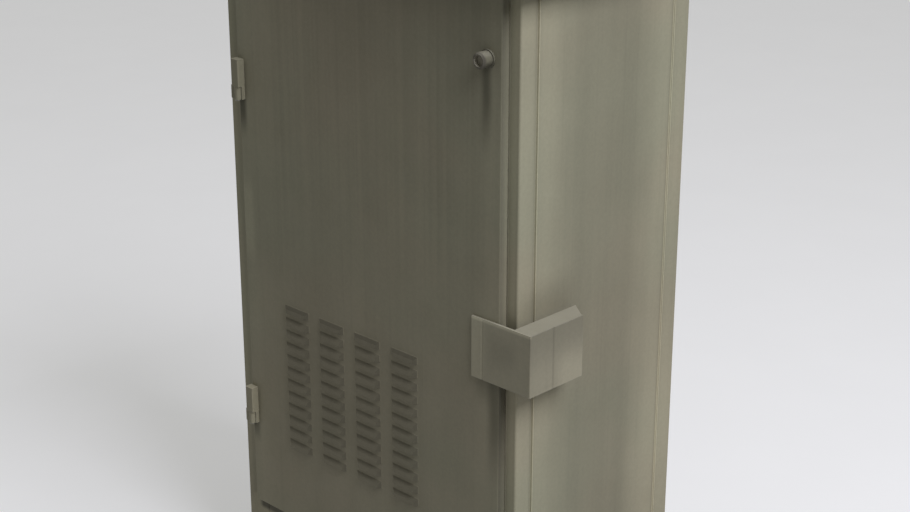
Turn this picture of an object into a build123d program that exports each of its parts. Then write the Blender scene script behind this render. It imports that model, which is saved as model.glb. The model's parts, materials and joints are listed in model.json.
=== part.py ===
from build123d import *
import os

os.makedirs("parts", exist_ok=True)

# A street cabinet of folded sheet steel, in millimetres.
# The origin is on the ground in the middle of the anchor holes, +Z is up and the door faces -Y.

# Shell
body_width = 750.0
body_depth = 440.0
frame_sheet = 2.0
panel_sheet = 1.5
fold_radius = 4.0
fold_limit_share = 0.45
groove_width = 9.0
groove_depth = 3.5
landing_width = 22.0
return_depth = 20.0
front_post_side = 35.0
rear_post_side = 41.0
rear_post_back = 43.5
tray_flange = 25.0

# Door
door_left_margin = 46.0
door_right_margin = 23.5
door_height = 1150.0
sill_margin = 60.0
header_margin = 25.0
door_proud = 18.0
door_gap = 3.0
door_overlap = 18.0
door_sheet = 2.0
door_lip = 16.0
door_edge_radius = 4.0
door_corner_radius = 3.0
seal_inset = 8.0
seal_lip_margin = 1.0
seal_gap = 0.3
stiffener_width = 42.0
stiffener_depth = 16.0
stiffener_brim = 12.0
stiffener_end_gap = 30.0
stiffener_from_filter = 17.0
stiffener_from_lock = 52.0

# Louvres
louvre_columns = 4
louvre_rows = 12
louvre_width_share = 0.7
louvre_height = 15.0
louvre_depth = 6.5
louvre_sheet = 1.2
louvre_row_pitch = 26.0
louvre_from_hinge_edge = 114.5
louvre_from_lock_edge = 201.2
louvre_from_door_bottom = 165.0
louvre_shoulder_depth_share = 0.74
louvre_shoulder_height_share = 0.52
louvre_end_slope_share = 1.5

# Filter behind the louvres
filter_border = 14.0
filter_frame_depth = 17.0
filter_frame_lip = 9.0

# Hinges
hinge_axis_inset = 8.5
hinge_standoff = 8.0
hinge_block_width = 21.0
hinge_block_front = 7.5
hinge_block_round = 2.5
hinge_tongue = 2.5
hinge_tongue_proud = 7.6
hinge_height = 78.0
hinge_frame_knuckle = 25.0
hinge_joint_gap = 0.5
hinge_arm = 5.0
hinge_arm_gap = 5.5
hinge_flange_width = 26.0
hinge_pin_radius = 4.0
hinge_pin_fit = 0.05
hinge_pin_head_radius = 6.0
hinge_pin_head = 2.5
hinge_cap = 5.0
upper_hinge_height = 894.5
lower_hinge_height = 220.5

# Lock
lock_from_opening = 14.5
lock_from_door_top = 107.0
lock_flange_radius = 16.0
lock_flange = 3.0
lock_barrel_radius = 10.0
lock_fit = 0.05
lock_nut_wall = 3.5
lock_nut = 6.0
lock_spindle_radius = 5.0
lock_square = 7.0
knob_radius = 14.0
knob_length = 20.0
knob_gap = 0.5
knob_round = 3.0
key_recess_radius = 10.0
key_recess = 9.0
cam_reach = 34.0
cam_width = 17.0
cam_plate = 4.0
cam_clearance = 2.0
cam_screw_across = 15.0
cam_screw_head = 4.0

# Padlock guard
guard_plate = 4.5
guard_standoff = 50.0
guard_front_arm = 86.5
guard_side_arm = 112.0
guard_bottom = 475.5
guard_height = 113.0
guard_round = 2.0
guard_top_gap = 10.0
guard_top_tail = 26.0
guard_crease = 7.0
guard_crease_depth = 0.8
guard_side_crease = 37.0
guard_front_crease = 25.0
eye_radius = 6.0
eye_plate = 6.0
eye_gap = 2.0
eye_below_guard_top = 34.0
eye_from_body = 24.0
eye_from_front = 18.0
eye_wrap = 12.0
staple_base = 4.0
staple_base_height = 44.0
staple_edge = 4.0
lug_from_body = 9.0

# Roof
roof_sheet = 2.0
roof_overhang = 38.0
roof_over_door = 10.0
roof_lip = 45.0
roof_crown = 20.0
roof_crown_inset = 95.0
roof_edge_radius = 4.0
roof_rail_width = 45.0
roof_rail_brim = 18.0
roof_rail_inset = 25.0

# Plinth
plinth_height = 120.0
plinth_inset = 12.0
plinth_sheet = 3.0
plinth_foot = 50.0
plinth_top_flange = 40.0
anchor_hole_radius = 7.0
anchor_from_side = 63.0
anchor_edge = 27.0

# Cable entry
entry_width = 420.0
entry_depth = 130.0
entry_from_back = 150.0
gland_border = 18.0
gland_sheet = 2.0
cable_slot_margin = 45.0
cable_seal_lap = 14.0
cable_seal_height = 18.0
cable_seal_bevel = 8.0

# Inside
mount_rail_depth = 40.0
mount_rail_width = 26.0
plate_sheet = 2.5
plate_below_top = 160.0
plate_above_floor = 260.0
plate_side_gap = 62.0
din_width = 35.0
din_crown = 25.0
din_depth = 7.5
din_sheet = 1.0
din_from_plate_edge = 63.0
upper_din_below_plate_top = 155.0
din_rail_pitch = 270.0
terminal_count = 5
terminal_pitch = 16.0
terminal_play = 0.4
terminal_height = 62.0
terminal_depth = 46.0
terminal_shoulder = 17.0
terminal_nose = 26.0
terminal_well_width = 8.0
terminal_well_depth = 9.0
terminal_well_spacing = 44.0
terminals_from_rail_end = 110.0
clip_play = 0.3
clip_wall = 3.0
clip_hook = 2.0
switch_width = 74.0
switch_height = 92.0
switch_depth = 62.0
switch_round = 4.0
switch_from_rail_end = 100.0
switch_shaft_radius = 5.0
switch_shaft = 9.0
switch_dial_radius = 24.0
switch_dial = 8.0
switch_grip_length = 42.0
switch_grip_width = 12.0
switch_grip = 16.0
switch_gap = 0.4
switch_fit = 0.05
earth_bar_from_plate_edge = 123.0
earth_bar_height = 25.0
earth_bar_thick = 5.0
earth_bar_above_plate_bottom = 90.0
earth_stand_across = 22.0
earth_stand = 30.0
earth_stand_from_end = 30.0
earth_screw_count = 8
earth_screw_pitch = 34.0
earth_screw_across = 10.0
earth_screw_head = 4.0
clamp_rail_height = 40.0
clamp_rail_depth = 22.0
clamp_rail_lip = 12.0
clamp_rail_level = 150.0

# Cuts run on by this much
overrun = 5.0

# Places that follow from the sizes above
right = body_width / 2
left = -right
back = body_depth / 2
front = -back
floor = plinth_height
door_bottom = floor + sill_margin
door_top = door_bottom + door_height
body_top = door_top + header_margin
door_left = left + door_left_margin
door_right = right - door_right_margin
door_face = front - door_proud
door_back = front - door_gap
door_skin_back = door_face + door_sheet
open_left = door_left + door_overlap
open_right = door_right - door_overlap
open_bottom = door_bottom + door_overlap
open_top = door_top - door_overlap
inner_right = right - groove_depth - frame_sheet
inner_front = front + return_depth
inner_back = back - groove_depth - frame_sheet
hinge_x = door_left + hinge_axis_inset
hinge_y = door_face - hinge_standoff
hinge_knuckle_radius = hinge_standoff - hinge_joint_gap
lock_x = open_right - lock_from_opening
lock_z = door_top - lock_from_door_top
cam_front = inner_front + cam_clearance
guard_face = door_face - guard_plate
guard_right = right + guard_standoff
guard_end = front + guard_side_arm
guard_low = door_bottom + guard_bottom
guard_high = guard_low + guard_height
eye_x = right + eye_from_body
eye_y = front + eye_from_front
eye_z = guard_high - eye_below_guard_top
roof_low = door_top + roof_over_door
roof_shoulder = roof_low + roof_lip
roof_top = roof_shoulder + roof_crown
roof_rail_top = roof_top - roof_sheet
plate_back = inner_back - mount_rail_depth
plate_front = plate_back - plate_sheet
plate_edge = right - plate_side_gap
plate_bottom = floor + plate_above_floor
plate_top = body_top - plate_below_top
rail_end = plate_edge - din_from_plate_edge
upper_din_z = plate_top - upper_din_below_plate_top
lower_din_z = upper_din_z - din_rail_pitch
louvre_left = door_left + louvre_from_hinge_edge
louvre_right = door_right - louvre_from_lock_edge
louvre_column_pitch = (louvre_right - louvre_left) / (louvre_columns - 1 + louvre_width_share)
louvre_width = louvre_column_pitch * louvre_width_share
louvre_low = door_bottom + louvre_from_door_bottom
stiffener_left = louvre_left - filter_border - stiffener_from_filter - stiffener_width / 2
stiffener_right = lock_x - stiffener_from_lock - stiffener_width / 2
louvre_high = louvre_low + (louvre_rows - 1) * louvre_row_pitch + louvre_height


# Shared shapes
def block(x0, x1, y0, y1, z0, z1):
    """A box between two corners."""
    middle = Pos((x0 + x1) / 2, (y0 + y1) / 2, (z0 + z1) / 2)
    return middle * Box(x1 - x0, y1 - y0, z1 - z0)


def along_x(section, x0, x1):
    """A section drawn in Y and Z, drawn out along X."""
    return Pos(x0, 0, 0) * extrude(Plane.YZ * section, x1 - x0, dir=(1, 0, 0))


def along_y(section, y0, y1):
    """A section drawn in X and Z, drawn out along Y."""
    return Pos(0, y0, 0) * extrude(Plane.XZ * section, y1 - y0, dir=(0, 1, 0))


def along_z(section, z0, z1):
    """A section drawn in X and Y, drawn out along Z."""
    return Pos(0, 0, z0) * extrude(section, z1 - z0, dir=(0, 0, 1))


def outline(*points):
    """A flat face inside a closed run of points, a repeated point counted once."""
    ring = [a for a, b in zip(points, points[1:] + points[:1]) if a != b]
    return make_face(Polyline(*ring, close=True).edges())


def inner_line(points, thickness):
    """The points moved to the left of the way they run, mitred at each fold."""
    run = [Vector(*point) for point in points]
    ways = [(b - a).normalized() for a, b in zip(run, run[1:])]
    sides = [Vector(-way.Y, way.X) for way in ways]
    moved = [run[0] + sides[0] * thickness]
    for point, before, after in zip(run[1:], sides, sides[1:]):
        moved.append(point + (before + after) * (thickness / (1 + before.dot(after))))
    moved.append(run[-1] + sides[-1] * thickness)
    return [(point.X, point.Y) for point in moved]


def folded(points, thickness, radius=fold_radius):
    """The section of a sheet folded along points, its thickness to their left."""
    legs = [(Vector(*b) - Vector(*a)).length for a, b in zip(points, points[1:])]
    bends = [min(radius, fold_limit_share * min(pair)) for pair in zip(legs, legs[1:])]
    skin = FilletPolyline(*points, radius=bends)
    rear = inner_line(points, thickness)
    rest = Polyline(points[-1], *reversed(rear), points[0])
    return make_face([*skin.edges(), *rest.edges()])


def pan(x0, x1, y0, y1, z0, z1, sheet):
    """A cover with its face at y1 and its four edges folded back to y0."""
    whole = block(x0, x1, y0, y1, z0, z1)
    depth = y1 - y0
    bend = min(fold_radius, fold_limit_share * depth)
    whole = fillet(whole.faces().sort_by(Axis.Y)[-1].edges(), bend)
    room = block(x0 + sheet, x1 - sheet, y0 - overrun, y1 - sheet, z0 + sheet, z1 - sheet)
    return whole - room


def hexagon(x, y, across):
    """A hexagon that a spanner of the size across fits."""
    return Pos(x, y) * RegularPolygon(across / 2, 6, major_radius=False)


# Plinth
plinth_right = right - plinth_inset
plinth_back = back - plinth_inset
anchor_x = plinth_right - anchor_from_side
anchor_y = plinth_back - anchor_edge


def plinth_beam_section():
    """The channel of the plinth's rear beam, open to the inside."""
    return folded(
        [
            (plinth_back - plinth_foot, 0),
            (plinth_back, 0),
            (plinth_back, plinth_height),
            (plinth_back - plinth_top_flange, plinth_height),
        ],
        plinth_sheet,
    )


def plinth_beam():
    """The rear beam, with its anchor holes."""
    end = plinth_right - plinth_sheet
    beam = along_x(plinth_beam_section(), -end, end)
    for side in (-1, 1):
        anchor = Pos(side * anchor_x, anchor_y) * Circle(anchor_hole_radius)
        beam -= along_z(anchor, -overrun, plinth_sheet + overrun)
    return beam


def plinth_side():
    """The right side plate, its flanges cut back to clear the beams."""
    section = folded(
        [
            (plinth_right - plinth_foot, 0),
            (plinth_right, 0),
            (plinth_right, plinth_height),
            (plinth_right - plinth_top_flange, plinth_height),
        ],
        plinth_sheet,
    )
    side = along_y(section, -plinth_back, plinth_back)
    web = plinth_right - plinth_sheet
    low = plinth_height / 2
    for end in (-1, 1):
        for flange, z0, z1 in (
            (plinth_foot, -overrun, low),
            (plinth_top_flange, low, plinth_height + overrun),
        ):
            y0, y1 = sorted((end * (plinth_back - flange), end * (plinth_back + overrun)))
            side -= block(web - plinth_foot, web, y0, y1, z0, z1)
    return side


# Floor, cable entry and ceiling
entry_back = back - entry_from_back
entry_front = entry_back - entry_depth
gland_seat = floor + frame_sheet
gland_top = gland_seat + gland_sheet


def tray(z0, z1, floor_z0, floor_z1):
    """A tray that fits between the posts, with its edges turned over."""
    whole = block(-inner_right, inner_right, inner_front, inner_back, z0, z1)
    room = block(
        frame_sheet - inner_right,
        inner_right - frame_sheet,
        inner_front + frame_sheet,
        inner_back - frame_sheet,
        floor_z0,
        floor_z1,
    )
    return whole - room


def floor_tray():
    """The floor, with its cable opening."""
    top = floor + tray_flange
    whole = tray(floor, top, gland_seat, top + overrun)
    half = entry_width / 2
    return whole - block(-half, half, entry_front, entry_back, floor - overrun, top + overrun)


def gland_plate():
    """The plate over the cable opening, with a slot for the cables."""
    half = entry_width / 2 + gland_border
    plate = block(
        -half,
        half,
        entry_front - gland_border,
        entry_back + gland_border,
        gland_seat,
        gland_top,
    )
    slot = entry_width / 2 - cable_slot_margin
    return plate - block(
        -slot,
        slot,
        entry_front + cable_slot_margin,
        entry_back - cable_slot_margin,
        gland_seat - overrun,
        gland_top + overrun,
    )


def cable_seal():
    """The rear foam strip, which meets the front one over the middle of the slot."""
    middle = (entry_front + entry_back) / 2
    rear = entry_back - cable_slot_margin + cable_seal_lap
    top = gland_top + cable_seal_height
    end = entry_width / 2 - cable_slot_margin + cable_seal_lap
    section = outline(
        (middle, gland_top),
        (rear, gland_top),
        (rear, top - cable_seal_bevel),
        (rear - cable_seal_bevel, top),
        (middle, top),
    )
    return along_x(section, -end, end)


def top_panel():
    """The ceiling under the roof, with its edges turned down."""
    low = body_top - tray_flange
    return tray(low, body_top, low - overrun, body_top - frame_sheet)


# Frame and walls
def front_post(front_width):
    """The right front post, folded round from the door opening to the side wall's landing."""
    edge = right - front_width
    step = front + front_post_side
    landing = right - groove_depth
    section = folded(
        [
            (edge, inner_front),
            (edge, front),
            (right, front),
            (right, step),
            (landing, step),
            (landing, step + groove_width + landing_width),
        ],
        frame_sheet,
    )
    return along_z(section, floor, body_top)


def rear_post():
    """The right rear post, with a landing for the side wall and one for the rear wall."""
    step = back - rear_post_side
    side_landing = right - groove_depth
    rear_step = right - rear_post_back
    rear_landing = back - groove_depth
    section = folded(
        [
            (side_landing, step - groove_width - landing_width),
            (side_landing, step),
            (right, step),
            (right, back),
            (rear_step, back),
            (rear_step, rear_landing),
            (rear_step - groove_width - landing_width, rear_landing),
        ],
        frame_sheet,
    )
    return along_z(section, floor, body_top)


def front_rail(z0, z1):
    """A channel across the front between the posts."""
    section = folded(
        [(inner_front, z1), (front, z1), (front, z0), (inner_front, z0)],
        frame_sheet,
    )
    return along_x(section, open_left, open_right)


def side_panel():
    """The right side wall, between the grooves beside the posts."""
    y0 = front + front_post_side + groove_width
    y1 = back - rear_post_side - groove_width
    cover = pan(y0, y1, 0, groove_depth, floor + groove_width, body_top - groove_width, panel_sheet)
    return Pos(right - groove_depth, 0, 0) * Rot(0, 0, -90) * mirror(cover, about=Plane.YZ)


def rear_panel():
    """The rear wall, between the grooves beside the rear posts."""
    edge = right - rear_post_back - groove_width
    low = floor + groove_width
    high = body_top - groove_width
    return pan(-edge, edge, back - groove_depth, back, low, high, panel_sheet)


# Roof
roof_x = right + roof_overhang
roof_y = back + roof_overhang
rail_x = roof_x - roof_crown_inset - roof_rail_inset - roof_rail_width / 2
rail_y = roof_y - roof_crown_inset - roof_rail_inset


def gable(half, z0, z1, z2, inset):
    """The outline of a hood seen from one side: upright rims and a sloped, flat-topped crown."""
    return outline(
        (-half, z0),
        (half, z0),
        (half, z1),
        (half - inset, z2),
        (inset - half, z2),
        (-half, z1),
    )


def hood(x, y, z0, z1, z2, inset):
    """An upright rim with a hipped top, where two runs of the outline cross."""
    across = along_x(gable(y, z0, z1, z2, inset), -x, x)
    return across & along_y(gable(x, z0, z1, z2, inset), -y, y)


def roof():
    """The roof hood: a rim that overhangs the walls and a hipped top, open below."""
    outer = hood(roof_x, roof_y, roof_low, roof_shoulder, roof_top, roof_crown_inset)
    upright = outer.edges().filter_by(Axis.Z)
    outer = fillet(upright, roof_edge_radius)
    inner = hood(
        roof_x - roof_sheet,
        roof_y - roof_sheet,
        roof_low - overrun,
        roof_shoulder - roof_sheet,
        roof_top - roof_sheet,
        roof_crown_inset,
    )
    return outer - inner


def roof_rail():
    """The right hat rail that carries the roof on the ceiling."""
    half = roof_rail_width / 2
    brim = half + roof_rail_brim
    brim_top = body_top + frame_sheet
    section = folded(
        [
            (rail_x + brim, brim_top),
            (rail_x + half, brim_top),
            (rail_x + half, roof_rail_top),
            (rail_x - half, roof_rail_top),
            (rail_x - half, brim_top),
            (rail_x - brim, brim_top),
        ],
        frame_sheet,
    )
    return along_y(section, -rail_y, rail_y)


# Door
def louvre_shape(depth, height, half_width, low, behind):
    """A pressed bulge, hipped at both ends, drawn on the door's face."""
    profile = outline(
        (behind, low),
        (-depth, low),
        (-depth, 0),
        (-depth * louvre_shoulder_depth_share, height * louvre_shoulder_height_share),
        (0, height),
        (behind, height),
    )
    slope = depth * louvre_end_slope_share
    plan = outline(
        (-half_width, behind),
        (-half_width, 0),
        (slope - half_width, -depth),
        (half_width - slope, -depth),
        (half_width, 0),
        (half_width, behind),
    )
    return along_x(profile, -half_width, half_width) & along_z(plan, low, height)


def louvre_hood():
    """One louvre's hood, open underneath."""
    half = louvre_width / 2
    outer = louvre_shape(louvre_depth, louvre_height, half, 0, door_sheet)
    inner = louvre_shape(
        louvre_depth - louvre_sheet,
        louvre_height - louvre_sheet,
        half - louvre_sheet,
        -overrun,
        overrun,
    )
    return outer - inner


def louvre_places():
    """The lower middle of each louvre on the door's face."""
    first = louvre_left + louvre_width / 2
    return [
        (first + column * louvre_column_pitch, louvre_low + row * louvre_row_pitch)
        for column in range(louvre_columns)
        for row in range(louvre_rows)
    ]


def door_panel():
    """The door: a pan with turned-in lips, pressed louvres and the lock's hole."""
    whole = block(door_left, door_right, door_face, door_back, door_bottom, door_top)
    whole = fillet(whole.edges().filter_by(Axis.Y), door_corner_radius)
    whole = fillet(whole.faces().sort_by(Axis.Y)[0].edges(), door_edge_radius)
    room = block(
        door_left + door_sheet,
        door_right - door_sheet,
        door_skin_back,
        door_back - door_sheet,
        door_bottom + door_sheet,
        door_top - door_sheet,
    )
    mouth = block(
        door_left + door_lip,
        door_right - door_lip,
        door_skin_back,
        door_back + overrun,
        door_bottom + door_lip,
        door_top - door_lip,
    )
    whole = whole - room - mouth
    bore = Pos(lock_x, lock_z) * Circle(lock_barrel_radius + lock_fit)
    whole -= along_y(bore, door_face - overrun, door_skin_back + overrun)
    half = louvre_width / 2 - louvre_sheet
    gap = block(-half, half, -overrun, door_sheet + overrun, 0, louvre_height - louvre_sheet)
    places = [Pos(x, door_face, z) for x, z in louvre_places()]
    whole = whole - [place * gap for place in places]
    one = louvre_hood()
    return whole + [place * one for place in places]


def door_stiffener(x):
    """An upright hat section on the inside of the door's skin."""
    half = stiffener_width / 2
    top = half - stiffener_brim
    rise = door_skin_back + stiffener_depth
    section = folded(
        [
            (x - half, door_skin_back + panel_sheet),
            (x - top, door_skin_back + panel_sheet),
            (x - top, rise),
            (x + top, rise),
            (x + top, door_skin_back + panel_sheet),
            (x + half, door_skin_back + panel_sheet),
        ],
        -panel_sheet,
    )
    low = door_bottom + door_lip + stiffener_end_gap
    high = door_top - door_lip - stiffener_end_gap
    return along_z(section, low, high)


def vent_field(margin):
    """The edges of the louvre field with a margin round it."""
    return (
        louvre_left - margin,
        louvre_right + margin,
        louvre_low - margin,
        louvre_high + margin,
    )


def filter_frame():
    """The frame that holds the filter on the inside of the door."""
    x0, x1, z0, z1 = vent_field(filter_border)
    rear = door_skin_back + filter_frame_depth
    whole = block(x0, x1, door_skin_back, rear, z0, z1)
    room = block(
        x0 + panel_sheet,
        x1 - panel_sheet,
        door_skin_back - overrun,
        rear - panel_sheet,
        z0 + panel_sheet,
        z1 - panel_sheet,
    )
    lip = filter_frame_lip
    mouth = block(x0 + lip, x1 - lip, door_skin_back, rear + overrun, z0 + lip, z1 - lip)
    return whole - room - mouth


def filter_mat():
    """The filter mat that fills its frame."""
    x0, x1, z0, z1 = vent_field(filter_border - panel_sheet)
    rear = door_skin_back + filter_frame_depth - panel_sheet
    return block(x0, x1, door_skin_back, rear, z0, z1)


def door_seal():
    """The rubber strip round the door's lips, just off the frame."""
    rear = front - seal_gap
    outer = block(
        door_left + seal_inset,
        door_right - seal_inset,
        door_back,
        rear,
        door_bottom + seal_inset,
        door_top - seal_inset,
    )
    edge = door_lip - seal_lip_margin
    room = block(
        door_left + edge,
        door_right - edge,
        door_back - overrun,
        rear + overrun,
        door_bottom + edge,
        door_top - edge,
    )
    return outer - room


# Hinges
def hinge_low(height):
    """The underside of a hinge whose middle is at a height on the door."""
    return door_bottom + height - hinge_height / 2


def hinge_door_leaf(height):
    """The hinge block on the door, bored from below, with a tongue beside the frame's knuckle."""
    foot = hinge_low(height)
    low = foot + hinge_frame_knuckle + hinge_joint_gap
    high = foot + hinge_height
    half = hinge_block_width / 2
    edge = hinge_x + half
    leaf = block(hinge_x - half, edge, hinge_y - hinge_block_front, door_face, low, high)
    fronts = leaf.edges().filter_by(Axis.Z).group_by(Axis.Y)[0]
    leaf = fillet(fronts, min(hinge_block_round, fold_limit_share * half))
    bore = Pos(hinge_x, hinge_y) * Circle(hinge_pin_radius + hinge_pin_fit)
    leaf -= along_z(bore, low - overrun, high - hinge_cap)
    return leaf + block(edge - hinge_tongue, edge, door_face - hinge_tongue_proud, door_face, foot, low)


def hinge_frame_leaf(height):
    """The knuckle on the frame: a barrel on a cranked arm that reaches round the door's edge."""
    low = hinge_low(height)
    high = low + hinge_frame_knuckle
    arm_x = door_left - hinge_arm_gap
    half = hinge_arm / 2
    arm = outline(
        (hinge_x, hinge_y - half),
        (hinge_x, hinge_y + half),
        (arm_x, hinge_y + half),
        (arm_x, front),
        (arm_x - hinge_flange_width, front),
        (arm_x - hinge_flange_width, front - hinge_arm),
        (arm_x - hinge_arm, front - hinge_arm),
        (arm_x - hinge_arm, hinge_y - half),
    )
    leaf = along_z(arm, low, high)
    outer = leaf.edges().filter_by(Axis.Z).sort_by_distance((arm_x - hinge_arm, hinge_y - half, low))[0]
    leaf = fillet(outer, half)
    leaf += along_z(Pos(hinge_x, hinge_y) * Circle(hinge_knuckle_radius), low, high)
    bore = Pos(hinge_x, hinge_y) * Circle(hinge_pin_radius + hinge_pin_fit)
    return leaf - along_z(bore, low - overrun, high + overrun)


def hinge_pin(height):
    """The pin, its head under the frame's knuckle."""
    low = hinge_low(height)
    high = low + hinge_height - hinge_cap - hinge_joint_gap
    middle = Pos(hinge_x, hinge_y)
    pin = along_z(middle * Circle(hinge_pin_radius), low, high)
    return pin + along_z(middle * Circle(hinge_pin_head_radius), low - hinge_pin_head, low)


# Lock
lock_flange_front = door_face - lock_flange
knob_back = lock_flange_front - knob_gap
barrel_end = cam_front - knob_gap
cam_back = cam_front + cam_plate


def turned(points):
    """A piece turned round the lock's axis, from radii and places along it."""
    half = Plane.XY * outline(*points)
    return Pos(lock_x, 0, lock_z) * revolve(half, Axis.Y)


def lock_housing():
    """The lock's barrel, with a flange on the door's face."""
    bore = lock_spindle_radius + lock_fit
    return turned(
        [
            (bore, lock_flange_front),
            (lock_flange_radius, lock_flange_front),
            (lock_flange_radius, door_face),
            (lock_barrel_radius, door_face),
            (lock_barrel_radius, barrel_end),
            (bore, barrel_end),
        ]
    )


def lock_nut_piece():
    """The nut that holds the barrel from inside the door."""
    face = hexagon(lock_x, lock_z, 2 * (lock_barrel_radius + lock_nut_wall))
    face -= Pos(lock_x, lock_z) * Circle(lock_barrel_radius + lock_fit)
    return along_y(face, door_skin_back, door_skin_back + lock_nut)


def lock_knob():
    """The knob with its spindle and squared end, and a plain round key recess."""
    tip = knob_back - knob_length
    knob = turned(
        [
            (0, tip),
            (knob_radius - knob_round, tip),
            (knob_radius, tip + knob_round),
            (knob_radius, knob_back),
            (lock_spindle_radius, knob_back),
            (lock_spindle_radius, cam_front),
            (0, cam_front),
        ]
    )
    square = Pos(lock_x, lock_z) * Rectangle(lock_square, lock_square)
    knob += along_y(square, cam_front, cam_back)
    recess = Pos(lock_x, lock_z) * Circle(key_recess_radius)
    return knob - along_y(recess, tip - overrun, tip + key_recess)


def lock_cam():
    """The cam on the spindle's squared end, pointing down when the door is free."""
    half = cam_width / 2
    foot = lock_z - cam_reach
    middle = Pos(lock_x, (lock_z + foot) / 2) * Rectangle(cam_width, lock_z - foot)
    face = middle + Pos(lock_x, lock_z) * Circle(half)
    hole = lock_square + lock_fit * 2
    face -= Pos(lock_x, lock_z) * Rectangle(hole, hole)
    return along_y(face, cam_front, cam_back)


def cam_screw():
    """The screw that holds the cam on the spindle."""
    head = hexagon(lock_x, lock_z, cam_screw_across)
    return along_y(head, cam_back, cam_back + cam_screw_head)


# Padlock guard
def lock_guard():
    """A plate folded round the cabinet's corner, with a flange over the padlock."""
    corner = [
        (right - guard_front_arm, guard_face),
        (guard_right, guard_face),
        (guard_right, guard_end),
    ]
    guard = along_z(folded(corner, guard_plate, guard_round), guard_low, guard_high)
    flange = outline(
        (right + guard_top_gap, door_face),
        (guard_right - guard_plate, door_face),
        (guard_right - guard_plate, guard_end),
        (right + guard_top_gap, guard_end + guard_top_tail),
    )
    guard += along_z(flange, guard_high - guard_plate, guard_high)
    half = guard_crease / 2
    side_y = front + guard_side_crease
    side_crease = outline(
        (guard_right, side_y - half),
        (guard_right - guard_crease_depth, side_y),
        (guard_right, side_y + half),
    )
    front_x = corner[0][0] + guard_front_crease
    front_crease = outline(
        (front_x - half, guard_face),
        (front_x, guard_face + guard_crease_depth),
        (front_x + half, guard_face),
    )
    for crease in (side_crease, front_crease):
        guard -= along_z(crease, guard_low - overrun, guard_high + overrun)
    return guard


def padlock_staple():
    """The eye on the front post for the padlock."""
    y0 = front + staple_edge
    y1 = front + front_post_side - staple_edge
    base_right = right + staple_base
    middle = eye_z + eye_plate / 2
    half = staple_base_height / 2
    staple = block(right, base_right, y0, y1, middle - half, middle + half)
    tab = Pos((base_right + eye_x) / 2, eye_y) * Rectangle(eye_x - base_right, 2 * eye_wrap)
    tab += Pos(eye_x, eye_y) * Circle(eye_wrap)
    tab -= Pos(eye_x, eye_y) * Circle(eye_radius)
    return staple + along_z(tab, eye_z, eye_z + eye_plate)


def padlock_lug():
    """The eye on the guard, just above the staple's."""
    low = eye_z + eye_plate + eye_gap
    x0 = right + lug_from_body
    x1 = guard_right - guard_plate
    y1 = eye_y + eye_wrap
    tab = outline((x0, door_face), (x1, door_face), (x1, y1), (x0, y1))
    tab -= Pos(eye_x, eye_y) * Circle(eye_radius)
    return along_z(tab, low, low + eye_plate)


# Inside
rail_right = right - rear_post_back - groove_width
rail_left = rail_right - mount_rail_width


def mount_rail():
    """The right upright channel, fixed to the rear post's landing."""
    section = folded(
        [
            (rail_right, inner_back),
            (rail_left, inner_back),
            (rail_left, plate_back),
            (rail_right, plate_back),
        ],
        frame_sheet,
    )
    return along_z(section, floor + tray_flange, body_top - tray_flange)


def mounting_plate():
    """The plate for the equipment, on the front of the two channels."""
    return block(-plate_edge, plate_edge, plate_front, plate_back, plate_bottom, plate_top)


def din_rail(z):
    """A hat-shaped rail on the mounting plate."""
    brim = din_width / 2
    crown = din_crown / 2
    rim = plate_front - din_depth
    section = folded(
        [
            (rim, z + brim),
            (rim, z + crown),
            (plate_front - din_sheet, z + crown),
            (plate_front - din_sheet, z - crown),
            (rim, z - crown),
            (rim, z - brim),
        ],
        din_sheet,
        din_sheet,
    )
    return along_x(section, -rail_end, rail_end)


def clipped(height, nose_points, z):
    """The side outline of a unit that clips over a rail, its nose given by points."""
    rim = plate_front - din_depth
    half = height / 2
    reach = din_width / 2 + clip_play
    hook = rim + din_sheet + clip_play
    foot = hook + clip_wall
    return outline(
        (rim, z + reach),
        (hook, z + reach),
        (hook, z + reach - clip_hook),
        (foot, z + reach - clip_hook),
        (foot, z + half),
        *[(rim - depth, z + level) for depth, level in nose_points],
        (foot, z - half),
        (foot, z - reach + clip_hook),
        (hook, z - reach + clip_hook),
        (hook, z - reach),
        (rim, z - reach),
    )


def terminal(number):
    """One terminal with a stepped nose and two screw wells."""
    z = lower_din_z
    half = terminal_height / 2
    nose = terminal_nose / 2
    side = clipped(
        terminal_height,
        [
            (terminal_shoulder, half),
            (terminal_shoulder, nose),
            (terminal_depth, nose),
            (terminal_depth, -nose),
            (terminal_shoulder, -nose),
            (terminal_shoulder, -half),
        ],
        z,
    )
    first = rail_end - terminals_from_rail_end - terminal_count * terminal_pitch
    x0 = first + number * terminal_pitch
    x1 = x0 + terminal_pitch - terminal_play
    body = along_x(side, x0, x1)
    step = plate_front - din_depth - terminal_shoulder
    for way in (-1, 1):
        well = Pos((x0 + x1) / 2, z + way * terminal_well_spacing / 2)
        well *= Rectangle(terminal_well_width, terminal_well_width)
        body -= along_y(well, step - overrun, step + terminal_well_depth)
    return body


switch_z = upper_din_z
switch_face = plate_front - din_depth - switch_depth
switch_x = switch_from_rail_end - rail_end


def main_switch_body():
    """The main switch's case on the upper rail, bored for its shaft."""
    half = switch_height / 2
    side = clipped(switch_height, [(switch_depth, half), (switch_depth, -half)], switch_z)
    case = along_x(side, switch_x - switch_width / 2, switch_x + switch_width / 2)
    rim = case.faces().sort_by(Axis.Y)[0].edges()
    case = fillet(rim, switch_round)
    bore = Pos(switch_x, switch_z) * Circle(switch_shaft_radius + switch_fit)
    return case - along_y(bore, switch_face - overrun, switch_face + switch_shaft + switch_gap)


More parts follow.
